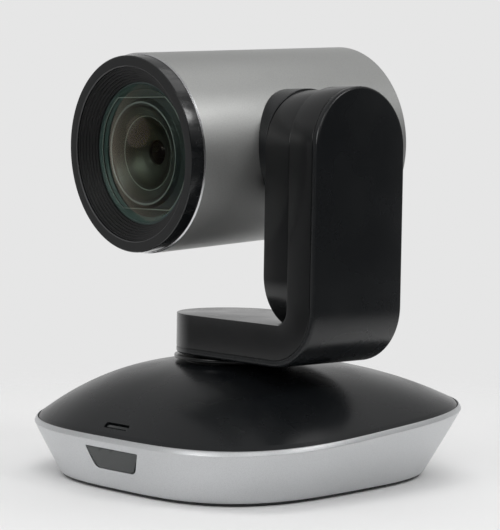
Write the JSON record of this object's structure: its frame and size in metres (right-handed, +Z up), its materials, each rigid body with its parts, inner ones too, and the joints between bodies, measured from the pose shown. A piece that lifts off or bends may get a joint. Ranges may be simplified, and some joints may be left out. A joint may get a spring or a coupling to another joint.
{
  "type": "ptz camera",
  "caption": "Pan-tilt-zoom camera: round camera head tilting on a one-sided L-shaped yoke that turns on a low rounded-square base.",
  "frame": {"origin": "middle of the footprint, on the surface that the rubber feet rest on", "axes": "+Z up; -Y towards what the lens looks at; +X towards the arm that carries the head"},
  "size_m": [0.131, 0.13, 0.1501],
  "materials": {
    "silver_skirt": "fine satin silver paint",
    "silver_barrel": "satin anodised with a fine grain",
    "black_cover": "soft satin black",
    "charcoal": "fine moulded texture",
    "gloss_black": "polished",
    "matte_black": "matte",
    "rubber": "matte",
    "brass": "machined",
    "steel": "plated",
    "circuit_board": "solder mask",
    "smoked_window": "smooth",
    "front_glass": "coated",
    "inner_glass": "coated",
    "gear_acetal": "moulded",
    "flex_film": "smooth film",
    "sensor_glass": "smooth"
  },
  "bodies": {
    "base": {"base_shell": "silver_skirt", "base_cover": "black_cover", "bottom_plate": "matte_black", "rubber_feet": "rubber", "tripod_insert": "brass", "base_screws": "steel", "port_panel": "matte_black", "usb_port": "steel", "power_jack": "gloss_black", "lock_plate": "steel", "button_switch": "matte_black", "main_board": "circuit_board", "ir_window": "smoked_window", "ir_receiver": "matte_black", "status_light": "smoked_window", "pan_chassis": "steel", "pan_bush": "brass", "pan_motor": "steel"},
    "pairing_button": {"pairing_button": "charcoal"},
    "pan_pinion": {"pan_pinion": "brass"},
    "yoke": {"pan_turntable": "charcoal", "pan_gear": "gear_acetal", "pan_retainer": "steel", "turntable_screws": "steel", "yoke_frame": "charcoal", "arm_inner_cover": "charcoal", "arm_outer_cover": "black_cover", "tilt_bush": "brass", "tilt_motor": "steel", "flex_cable": "flex_film"},
    "tilt_pinion": {"tilt_pinion": "brass"},
    "camera_head": {"tilt_hub": "gloss_black", "hub_nut": "steel", "tilt_gear": "gear_acetal", "tilt_retainer": "steel", "barrel_shell": "silver_barrel", "front_ring": "gloss_black", "lens_baffle": "matte_black", "front_lens": "front_glass", "lens_mask": "matte_black", "lens_housing": "matte_black", "guide_rods": "steel", "zoom_motor": "steel", "image_sensor": "sensor_glass", "sensor_board": "circuit_board", "board_standoffs": "steel", "video_board": "circuit_board", "heat_sink": "steel", "rear_cover": "matte_black"},
    "zoom_group": {"zoom_carriage": "matte_black", "zoom_lens": "inner_glass"},
    "zoom_screw": {"zoom_screw": "steel"},
    "focus_group": {"focus_carriage": "matte_black", "focus_lens": "inner_glass"}
  },
  "joints": [
    {"name": "pan", "type": "hinge", "parent": "base", "child": "yoke", "pos_m": [0, -0.0075, 0.04274], "axis": [0, 0, 1], "range_deg": [-126.4, 133.6]},
    {"name": "pan_drive", "type": "hinge", "parent": "base", "child": "pan_pinion", "pos_m": [0, 0.0213, 0.02775], "axis": [0, 0, 1], "range_deg": [-668.5, 632.5]},
    {"name": "tilt", "type": "hinge", "parent": "yoke", "child": "camera_head", "pos_m": [0, -0.0075, 0.11375], "axis": [0.998, -0.0628, 0], "range_deg": [-41.9, 88.1]},
    {"name": "tilt_drive", "type": "hinge", "parent": "yoke", "child": "tilt_pinion", "pos_m": [0.05339, -0.01086, 0.09295], "axis": [0.998, -0.0628, 0], "range_deg": [-294, 140]},
    {"name": "pairing_press", "type": "slide", "parent": "base", "child": "pairing_button", "axis": [0, -1, 0], "range_m": [0, 0.0008], "stiffness_N_per_m": 300},
    {"name": "zoom", "type": "slide", "parent": "camera_head", "child": "zoom_group", "axis": [0.0626, 0.9957, 0.068], "range_m": [0, 0.009]},
    {"name": "zoom_drive", "type": "hinge", "parent": "camera_head", "child": "zoom_screw", "pos_m": [-0.00117, -0.02608, 0.09284], "axis": [0.0626, 0.9957, 0.068], "range_deg": [-5, 1300]},
    {"name": "focus", "type": "slide", "parent": "camera_head", "child": "focus_group", "axis": [0.0626, 0.9957, 0.068], "range_m": [-0.001, 0.0015]}
  ],
  "couplings": [
    {"joint": "pan_drive", "follows": "pan", "ratio": -5},
    {"joint": "tilt_drive", "follows": "tilt", "ratio": -3.3333},
    {"joint": "zoom_drive", "follows": "zoom", "rad_per_m": 2513.3}
  ]
}
